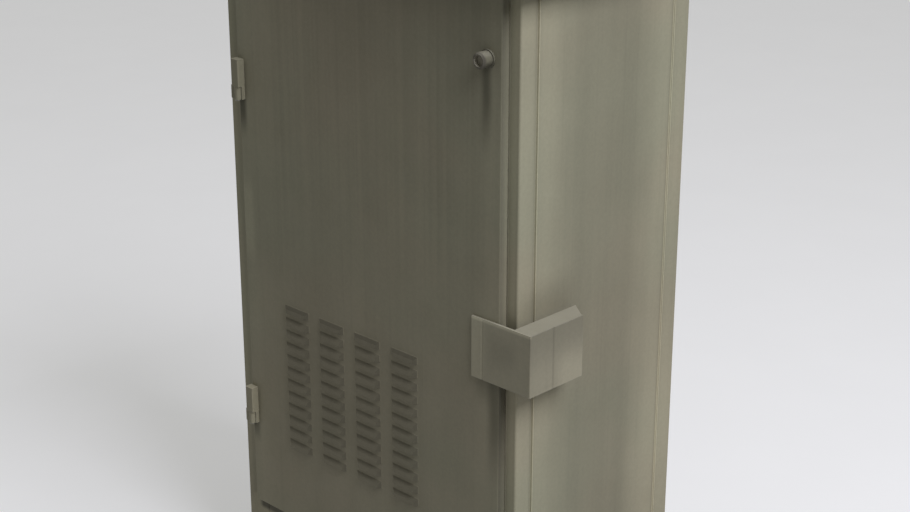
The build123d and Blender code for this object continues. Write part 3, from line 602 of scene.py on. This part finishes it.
def lock_metal():
    """The lock's knob and housing: turned metal, painted over, its face dark from the key, with
    painted shade on its downward faces and the key hole's recess painted paler as painted light.
    """
    finish = old_paint("lock_metal", paint_brown, paint_green)
    turning = finish.noise(1.0, detail=2.0, stretch=(30.0, 2600.0, 30.0))
    finish.relief(turning, depth=0.00012, strength=0.5)
    worn = finish.ramp(finish.noise(200.0, detail=4.0), 0.3, 0.6)
    finish.cover(finish.meet(finish.edge(0.0014), worn), bare_steel, share=0.4)
    finish.shade(finish.ramp(finish.noise(120.0, detail=3.0), 0.3, 0.7, start=0.59, end=0.71))
    # painted shade on the faces turned down
    finish.darken(finish.facing("Z", 0.25, -0.45), loss=0.5)
    handled = finish.ramp(finish.y, knob[0].y + 0.0065, knob[0].y + 0.0035)
    finish.cover(handled, knob_face, share=0.92)
    # the key hole's recess painted paler, as painted light against its shade
    middle = (knob[0] + knob[1]) / 2
    across = finish.calc("POWER", finish.calc("SUBTRACT", finish.x, middle.x), 2.0)
    rise = finish.calc("POWER", finish.calc("SUBTRACT", finish.z, middle.z), 2.0)
    from_axis = finish.calc("SQRT", finish.calc("ADD", across, rise))
    within = finish.ramp(from_axis, 0.0104, 0.0099)
    sunk = finish.ramp(finish.y, knob[0].y, knob[0].y + 0.002)
    finish.cover(finish.meet(within, sunk), key_hole_light, share=0.95)
    return paint_done(finish, dusty=0.5, shade_and_dirt=0.1)


def galvanised():
    """Zinc-coated sheet with its spangle, dulled and white-stained, with dirt and painted shade in its
    corners, stained where it shows outside.
    """
    finish = Finish("galvanised", zinc_sheet, metallic=0.85, specular=0.5)
    spangle = finish.cells(90.0)
    finish.shade(finish.ramp(spangle, 0.0, 1.0, start=0.86, end=1.08))
    stain = finish.ramp(finish.noise(11.0, detail=5.0, roughness=0.6), 0.5, 0.72)
    finish.cover(stain, white_stain, share=0.35)
    # dirt and painted shade in the corners
    finish.cover(finish.crevice(0.03), sheet_dirt_and_shade, share=0.4)
    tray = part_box("floor_tray")[1]
    past_x = finish.ramp(finish.calc("ABSOLUTE", finish.x), tray.x - 0.0012, tray.x - 0.0006)
    past_y = finish.ramp(finish.calc("ABSOLUTE", finish.y), tray.y - 0.0012, tray.y - 0.0006)
    tray_height = finish.ramp(finish.z, tray.z + 0.004, tray.z + 0.001)
    outside = finish.meet(finish.calc("MAXIMUM", past_x, past_y), tray_height)
    finish.cover(outside, stain_and_shadow, share=0.95)
    finish.relief(finish.noise(300.0, detail=3.0), depth=0.0001, strength=0.25)
    return finish.done(finish.ramp(spangle, 0.0, 1.0, start=0.38, end=0.56))


def plated_zinc():
    """Bright plated steel, drawn along its length, with dull patches, dirt and painted shade in its
    corners, and dark outdoors.
    """
    finish = Finish("zinc", bright_plating, metallic=0.95, specular=0.5)
    drawn = finish.noise(1.0, detail=2.0, stretch=(40.0, 900.0, 900.0))
    finish.shade(finish.ramp(drawn, 0.3, 0.7, start=0.90, end=1.05))
    dull = finish.ramp(finish.noise(45.0, detail=4.0), 0.45, 0.7)
    finish.cover(dull, dull_plating, share=0.4)
    # dirt and painted shade in the corners
    finish.cover(finish.crevice(0.004), plating_dirt_and_shade, share=0.5)
    outdoors = finish.ramp(finish.y, door[0].y + 0.004, door[0].y - 0.001)
    finish.cover(outdoors, plating_outdoors, share=0.85)
    finish.relief(finish.noise(900.0, detail=2.0), depth=0.00005, strength=0.3)
    return finish.done(finish.ramp(dull, 0.0, 1.0, start=0.28, end=0.5))


def seal_rubber():
    """Matt black rubber with a grey bloom."""
    finish = Finish("seal_rubber", black_rubber, specular=0.35)
    bloom = finish.ramp(finish.noise(70.0, detail=5.0, roughness=0.65), 0.4, 0.75)
    finish.cover(bloom, rubber_bloom, share=0.5)
    finish.relief(finish.noise(800.0, detail=3.0), depth=0.0002, strength=0.5)
    return finish.done(finish.ramp(bloom, 0.0, 1.0, start=0.62, end=0.85))


def filter_fleece():
    """Matted grey fleece, dirty where the air comes through."""
    finish = Finish("filter_fleece", grey_fleece, specular=0.2)
    fibres = finish.noise(520.0, detail=6.0, stretch=(1.0, 1.0, 0.35), roughness=0.75)
    finish.shade(finish.ramp(fibres, 0.3, 0.7, start=0.62, end=1.25))
    clogged = finish.ramp(finish.noise(9.0, detail=5.0), 0.35, 0.7)
    finish.cover(clogged, fleece_dirt, share=0.55)
    finish.relief(fibres, depth=0.0012, strength=0.9)
    return finish.done(finish.ramp(fibres, 0.3, 0.7, start=0.85, end=0.98))


def pointer_line(finish):
    """A line on the switch handle's grip, which points up at rest."""
    low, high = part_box("main_switch_handle")
    middle = (low + high) / 2
    across = finish.between(finish.x, middle.x - 0.0013, middle.x + 0.0013, soft=0.0003)
    along = finish.between(finish.z, middle.z + 0.004, middle.z + 0.018, soft=0.0003)
    on_grip = finish.ramp(finish.y, low.y + 0.0015, low.y + 0.0008)
    return finish.meet(across, along, on_grip)


def moulding(name, colour, roughness, mark=None):
    """Moulded plastic: a fine spark-eroded grain, slightly yellowed, dusty on top."""
    finish = Finish(name, colour, specular=0.45)
    finish.shade(finish.ramp(finish.noise(35.0, detail=4.0), 0.3, 0.7, start=0.93, end=1.05))
    aged = finish.ramp(finish.noise(14.0, detail=3.0), 0.45, 0.75)
    yellowed = tuple(part * change for part, change in zip(colour, yellowing))
    finish.cover(aged, yellowed, share=0.18)
    finish.cover(finish.facing("Z"), plastic_dust, share=0.25)
    if mark is not None:
        finish.cover(mark(finish), pointer_white)
    finish.relief(finish.noise(1500.0, detail=2.0), depth=0.00008, strength=0.4)
    handled = finish.noise(60.0, detail=3.0)
    return finish.done(finish.ramp(handled, 0.3, 0.7, start=roughness - 0.06, end=roughness + 0.08))


def earth_brass():
    """Dull brass with brown tarnish."""
    finish = Finish("earth_brass", yellow_brass, metallic=1.0, specular=0.5)
    tarnish = finish.ramp(finish.noise(60.0, detail=5.0, roughness=0.65), 0.4, 0.7)
    finish.cover(tarnish, brass_tarnish, share=0.6)
    drawn = finish.noise(1.0, detail=2.0, stretch=(25.0, 700.0, 700.0))
    finish.shade(finish.ramp(drawn, 0.3, 0.7, start=0.9, end=1.06))
    finish.relief(finish.noise(500.0, detail=3.0), depth=0.00008, strength=0.3)
    return finish.done(finish.ramp(tarnish, 0.0, 1.0, start=0.30, end=0.55))


finishes = {
    "body_paint": body_paint(),
    "door_paint": door_paint(),
    "plinth_paint": plinth_paint(),
    "guard_paint": guard_paint(),
    "hinge_metal": hinge_metal(),
    "lock_metal": lock_metal(),
    "galvanised": galvanised(),
    "zinc": plated_zinc(),
    "seal_rubber": seal_rubber(),
    "filter_fleece": filter_fleece(),
    "switch_plastic": moulding("switch_plastic", switch_grey, roughness=0.45),
    "handle_plastic": moulding("handle_plastic", handle_black, roughness=0.42, mark=pointer_line),
    "terminal_plastic": moulding("terminal_plastic", terminal_beige, roughness=0.48),
    "stand_plastic": moulding("stand_plastic", stand_brown, roughness=0.5),
    "earth_brass": earth_brass(),
}


def dress_cabinet():
    """Every piece of the cabinet gets its finish."""
    for part in frame["record"]["subparts"]:
        mesh = frame["nodes"][part["node"]].data
        mesh.materials.clear()
        mesh.materials.append(finishes[part["material_slot"]])


# Fasteners
class HeadTree:
    """A Geometry Nodes tree that sets one fastener head on each point, facing the point's way."""

    def __init__(self, name, sizes):
        self.tree = bpy.data.node_groups.new(name, "GeometryNodeTree")
        face = self.tree.interface
        face.new_socket("Places", in_out="INPUT", socket_type="NodeSocketGeometry")
        for label in sizes:
            face.new_socket(label, in_out="INPUT", socket_type="NodeSocketFloat")
        face.new_socket("Finish", in_out="INPUT", socket_type="NodeSocketMaterial")
        face.new_socket("Heads", in_out="OUTPUT", socket_type="NodeSocketGeometry")
        self.given = self.tree.nodes.new("NodeGroupInput").outputs

    def put(self, socket, value):
        """A socket takes a value or another node's result."""
        if isinstance(value, bpy.types.NodeSocket):
            self.tree.links.new(value, socket)
        else:
            socket.default_value = value

    def node(self, kind, settings=None, **inputs):
        """A node with its settings and inputs, underscores standing for spaces."""
        node = self.tree.nodes.new(kind)
        for key, value in (settings or {}).items():
            setattr(node, key, value)
        for key, value in inputs.items():
            self.put(node.inputs[key.replace("_", " ")], value)
        return node

    def calc(self, operation, first, second):
        """An operation on two numbers."""
        node = self.node("ShaderNodeMath", {"operation": operation})
        self.put(node.inputs[0], first)
        self.put(node.inputs[1], second)
        return node.outputs[0]

    def vector(self, x, y, z):
        """Three numbers as one vector."""
        return self.node("ShaderNodeCombineXYZ", X=x, Y=y, Z=z).outputs[0]

    def raised(self, shape, height):
        """A shape lifted by a height."""
        lift = self.vector(0.0, 0.0, height)
        return self.node("GeometryNodeTransform", Geometry=shape, Translation=lift).outputs[0]

    def join(self, *shapes):
        """Several shapes as one."""
        node = self.tree.nodes.new("GeometryNodeJoinGeometry")
        for shape in shapes:
            self.tree.links.new(shape, node.inputs[0])
        return node.outputs[0]

    def close(self, head):
        """Sets the head on every point, turned a little differently on each."""
        way = self.node("GeometryNodeInputNamedAttribute", {"data_type": "FLOAT_VECTOR"}, Name="way")
        upright = self.node("FunctionNodeAlignRotationToVector", {"axis": "Z"}, Vector=way.outputs[0])
        chance = self.node("FunctionNodeRandomValue", {"data_type": "FLOAT"}, Seed=head_seed)
        chance.inputs[2].default_value = 0.0
        chance.inputs[3].default_value = math.pi
        spin = self.node("FunctionNodeAxisAngleToRotation", Axis=up, Angle=chance.outputs[1])
        turn = self.node(
            "FunctionNodeRotateRotation",
            {"rotation_space": "LOCAL"},
            Rotation=upright.outputs[0],
            Rotate_By=spin.outputs[0],
        )
        heads = self.node(
            "GeometryNodeInstanceOnPoints",
            Points=self.given["Places"],
            Instance=head,
            Rotation=turn.outputs[0],
        )
        real = self.node("GeometryNodeRealizeInstances", Geometry=heads.outputs[0])
        done = self.node(
            "GeometryNodeSetMaterial",
            Geometry=real.outputs[0],
            Material=self.given["Finish"],
        )
        end = self.tree.nodes.new("NodeGroupOutput")
        self.tree.links.new(done.outputs[0], end.inputs[0])
        return self.tree


def dome_screw_tree():
    """A domed screw head with a crossed recess."""
    tree = HeadTree("dome_screw", screw_m5)
    size = tree.given
    ball = tree.node("GeometryNodeMeshUVSphere", Segments=20, Rings=12, Radius=1.0).outputs[0]
    place = tree.node("GeometryNodeInputPosition").outputs[0]
    split = tree.node("ShaderNodeSeparateXYZ", Vector=place).outputs
    dome = tree.vector(
        tree.calc("MULTIPLY", split[0], size["Radius"]),
        tree.calc("MULTIPLY", split[1], size["Radius"]),
        tree.calc("MULTIPLY", tree.calc("MAXIMUM", split[2], 0.0), size["Height"]),
    )
    head = tree.node("GeometryNodeSetPosition", Geometry=ball, Position=dome).outputs[0]
    length, width = size["Recess length"], size["Recess width"]
    deep = tree.calc("MULTIPLY", size["Recess depth"], 2.0)
    cut = tree.node("GeometryNodeMeshBoolean", {"operation": "DIFFERENCE", "solver": "EXACT"})
    tree.put(cut.inputs["Mesh 1"], head)
    for x, y in ((length, width), (width, length)):
        arm = tree.node("GeometryNodeMeshCube", Size=tree.vector(x, y, deep)).outputs[0]
        tree.put(cut.inputs["Mesh 2"], tree.raised(arm, size["Height"]))
    return tree.close(cut.outputs[0])


def hexagon_bolt_tree():
    """A six-sided bolt head with a chamfered top, on a round washer."""
    tree = HeadTree("hexagon_bolt", bolt_m8)
    size = tree.given
    washer = tree.node(
        "GeometryNodeMeshCylinder",
        Vertices=24,
        Radius=size["Washer radius"],
        Depth=size["Washer thickness"],
    ).outputs[0]
    washer = tree.raised(washer, tree.calc("MULTIPLY", size["Washer thickness"], 0.5))
    stem_height = tree.calc("MULTIPLY", size["Height"], stem_share)
    stem = tree.node(
        "GeometryNodeMeshCylinder",
        Vertices=6,
        Radius=size["Radius"],
        Depth=stem_height,
    ).outputs[0]
    half_stem = tree.calc("MULTIPLY", stem_height, 0.5)
    stem = tree.raised(stem, tree.calc("ADD", size["Washer thickness"], half_stem))
    crown = tree.node(
        "GeometryNodeMeshCone",
        Vertices=6,
        Radius_Top=tree.calc("MULTIPLY", size["Radius"], crown_taper),
        Radius_Bottom=size["Radius"],
        Depth=tree.calc("MULTIPLY", size["Height"], 1.0 - stem_share),
    ).outputs[0]
    crown = tree.raised(crown, tree.calc("ADD", size["Washer thickness"], stem_height))
    return tree.close(tree.join(washer, stem, crown))


def fasten(name, body, slot, tree, sizes, places):
    """One fastener at each place, as a single mesh that moves with its body."""
    points = bpy.data.meshes.new(name + "_places")
    points.from_pydata([place for place, way in places], [], [])
    ways = points.attributes.new("way", "FLOAT_VECTOR", "POINT")
    ways.data.foreach_set("vector", [number for place, way in places for number in way])
    piece = bpy.data.objects.new(name, points)
    bpy.context.scene.collection.objects.link(piece)
    modifier = piece.modifiers.new("heads", "NODES")
    modifier.node_group = tree
    values = {**sizes, "Finish": finishes[slot]}
    for socket in tree.interface.items_tree:
        if socket.in_out == "INPUT" and socket.name in values:
            modifier[socket.identifier] = values[socket.name]
    graph = bpy.context.evaluated_depsgraph_get()
    heads = bpy.data.meshes.new_from_object(piece.evaluated_get(graph))
    piece.modifiers.clear()
    piece.data = heads
    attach(piece, body)


def centre(box, axis):
    """The middle of a box along one axis."""
    low, high = box
    return (getattr(low, axis) + getattr(high, axis)) / 2


def hinge_screw_places():
    """Two screws, one above the other, in each hinge's flange on the post."""
    flange = 0.005
    from_end = 0.0095
    half_apart = 0.0065
    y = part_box("front_left_post")[0].y - flange
    places = []
    for node in ("upper_hinge_frame_leaf", "lower_hinge_frame_leaf"):
        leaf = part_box(node)
        for rise in (-half_apart, half_apart):
            places.append(((leaf[0].x + from_end, y, centre(leaf, "z") + rise), outward))
    return places


def plate_screw_places():
    """The screws of the mounting plate, its rails, the earth bar and the clamp rail."""
    places = []
    low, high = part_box("mounting_plate")
    plate_edge = 0.010
    plate_end = 0.03
    rows = 4
    for x in (low.x + plate_edge, high.x - plate_edge):
        for row in range(rows):
            z = low.z + plate_end + row * (high.z - low.z - 2 * plate_end) / (rows - 1)
            places.append(((x, low.y, z), outward))
    rail_sheet = 0.001
    rail_end = 0.03
    for node in ("upper_din_rail", "lower_din_rail"):
        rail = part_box(node)
        for x in (rail[0].x + rail_end, 0.0, rail[1].x - rail_end):
            places.append(((x, rail[1].y - rail_sheet, centre(rail, "z")), outward))
    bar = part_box("earth_bar")
    bar_end = 0.030
    for x in (bar[0].x + bar_end, bar[1].x - bar_end):
        places.append(((x, bar[0].y, centre(bar, "z")), outward))
    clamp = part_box("cable_clamp_rail")
    clamp_sheet = 0.002
    clamp_end = 0.013
    for x in (clamp[0].x + clamp_end, clamp[1].x - clamp_end):
        places.append(((x, clamp[1].y - clamp_sheet, centre(clamp, "z")), outward))
    return places


def terminal_screw_places():
    """A screw above and one below in each terminal."""
    terminals = 5
    half_apart = 0.022
    seat_from_rear = 0.0123
    places = []
    for number in range(1, terminals + 1):
        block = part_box(f"terminal_{number}")
        for rise in (-half_apart, half_apart):
            spot = (centre(block, "x"), block[1].y - seat_from_rear, centre(block, "z") + rise)
            places.append((spot, outward))
    return places


def frame_bolt_places():
    """The bolts that hold the floor tray on the plinth and the roof rails under the ceiling."""
    sheet = 0.002
    tray_x = 0.342
    tray_y = 0.186
    tray_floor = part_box("floor_tray")[0].z + sheet
    places = []
    for x in (-tray_x, tray_x):
        for y in (-tray_y, 0.0, tray_y):
            places.append(((x, y, tray_floor), up))
    for y in (-tray_y, tray_y):
        places.append(((0.0, y, tray_floor), up))
    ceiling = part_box("top_panel")[1].z - sheet
    rail_lip = 0.009
    rail_y = 0.10
    for node in ("roof_rail_right", "roof_rail_left"):
        low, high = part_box(node)
        for x in (low.x + rail_lip, high.x - rail_lip):
            for y in (-rail_y, rail_y):
                places.append(((x, y, ceiling), down))
    return places


def filter_rivet_places():
    """Four rivets along the top and bottom of the filter frame, and one on each side."""
    edge = 0.0045
    columns = 4
    low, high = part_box("filter_frame")
    places = []
    for column in range(columns):
        x = low.x + edge + column * (high.x - low.x - 2 * edge) / (columns - 1)
        for z in (low.z + edge, high.z - edge):
            places.append(((x, high.y, z), inward))
    for x in (low.x + edge, high.x - edge):
        places.append(((x, high.y, (low.z + high.z) / 2), inward))
    return places


def add_fasteners():
    """The screws, bolts and rivets that hold the cabinet together."""
    dome = dome_screw_tree()
    bolt = hexagon_bolt_tree()
    fasten("hinge_screws", "cabinet", "hinge_metal", dome, screw_m5, hinge_screw_places())
    fasten("plate_screws", "cabinet", "zinc", dome, screw_m5, plate_screw_places())
    fasten("terminal_screws", "cabinet", "zinc", dome, screw_m4, terminal_screw_places())
    fasten("frame_bolts", "cabinet", "zinc", bolt, bolt_m8, frame_bolt_places())
    fasten("filter_rivets", "door", "zinc", dome, rivet, filter_rivet_places())


def add_camera():
    """The camera that sees what the photograph shows."""
    data = bpy.data.cameras.new("photo_camera")
    data.lens = camera_lens
    data.sensor_width = sensor_width
    data.dof.use_dof = False
    eye = bpy.data.objects.new("photo_camera", data)
    eye.location = camera_place
    eye.rotation_euler = (math.radians(camera_pitch), 0, math.radians(camera_turn))
    bpy.context.scene.collection.objects.link(eye)
    bpy.context.scene.camera = eye


def seen_rays(nodes, links):
    """One for the rays that look at the studio: the camera's, mirrored and through glass."""
    path = nodes.new("ShaderNodeLightPath")
    seen = path.outputs["Is Camera Ray"]
    for label in ("Is Glossy Ray", "Is Transmission Ray"):
        either = nodes.new("ShaderNodeMath")
        either.operation = "MAXIMUM"
        links.new(seen, either.inputs[0])
        links.new(path.outputs[label], either.inputs[1])
        seen = either.outputs[0]
    return seen


def add_light():
    """Soft studio light from the right and above, and an even sky."""
    data = bpy.data.lights.new("key_light", "AREA")
    data.shape = "SQUARE"
    data.size = key_size
    data.energy = key_power
    data.color = key_colour
    lamp = bpy.data.objects.new("key_light", data)
    lamp.location = key_place
    aim = Vector(key_target) - Vector(key_place)
    lamp.rotation_euler = aim.to_track_quat("-Z", "Y").to_euler()
    bpy.context.scene.collection.objects.link(lamp)
    world = bpy.data.worlds.new("studio")
    world.use_nodes = True
    nodes, links = world.node_tree.nodes, world.node_tree.links
    sky = nodes["Background"]
    sky.inputs["Color"].default_value = (1.0, 1.0, 1.0, 1.0)
    level = nodes.new("ShaderNodeMapRange")
    level.inputs["To Min"].default_value = sky_strength
    level.inputs["To Max"].default_value = backdrop_strength
    links.new(seen_rays(nodes, links), level.inputs["Value"])
    links.new(level.outputs[0], sky.inputs["Strength"])
    bpy.context.scene.world = world


def add_floor():
    """A wide round pale floor that keeps the cabinet's shadow."""
    finish = Finish("studio_floor", floor_colour, specular=0.1)
    finish.shade(finish.ramp(finish.noise(3.0, detail=3.0), 0.3, 0.7, start=0.99, end=1.01))
    finish.put(finish.shader.inputs["Emission Color"], floor_glow)
    lift = finish.calc("MULTIPLY", seen_rays(finish.nodes, finish.links), floor_lift)
    finish.put(finish.shader.inputs["Emission Strength"], lift)
    mesh = bpy.data.meshes.new("studio_floor")
    turns = [math.tau * step / floor_sides for step in range(floor_sides)]
    rim = [(floor_radius * math.cos(turn), floor_radius * math.sin(turn), 0.0) for turn in turns]
    mesh.from_pydata(rim, [], [tuple(range(floor_sides))])
    mesh.materials.append(finish.done(floor_roughness))
    floor = bpy.data.objects.new("studio_floor", mesh)
    bpy.context.scene.collection.objects.link(floor)


bpy.context.scene.view_settings.view_transform = "Standard"
dress_cabinet()
add_fasteners()
add_camera()
add_light()
add_floor()
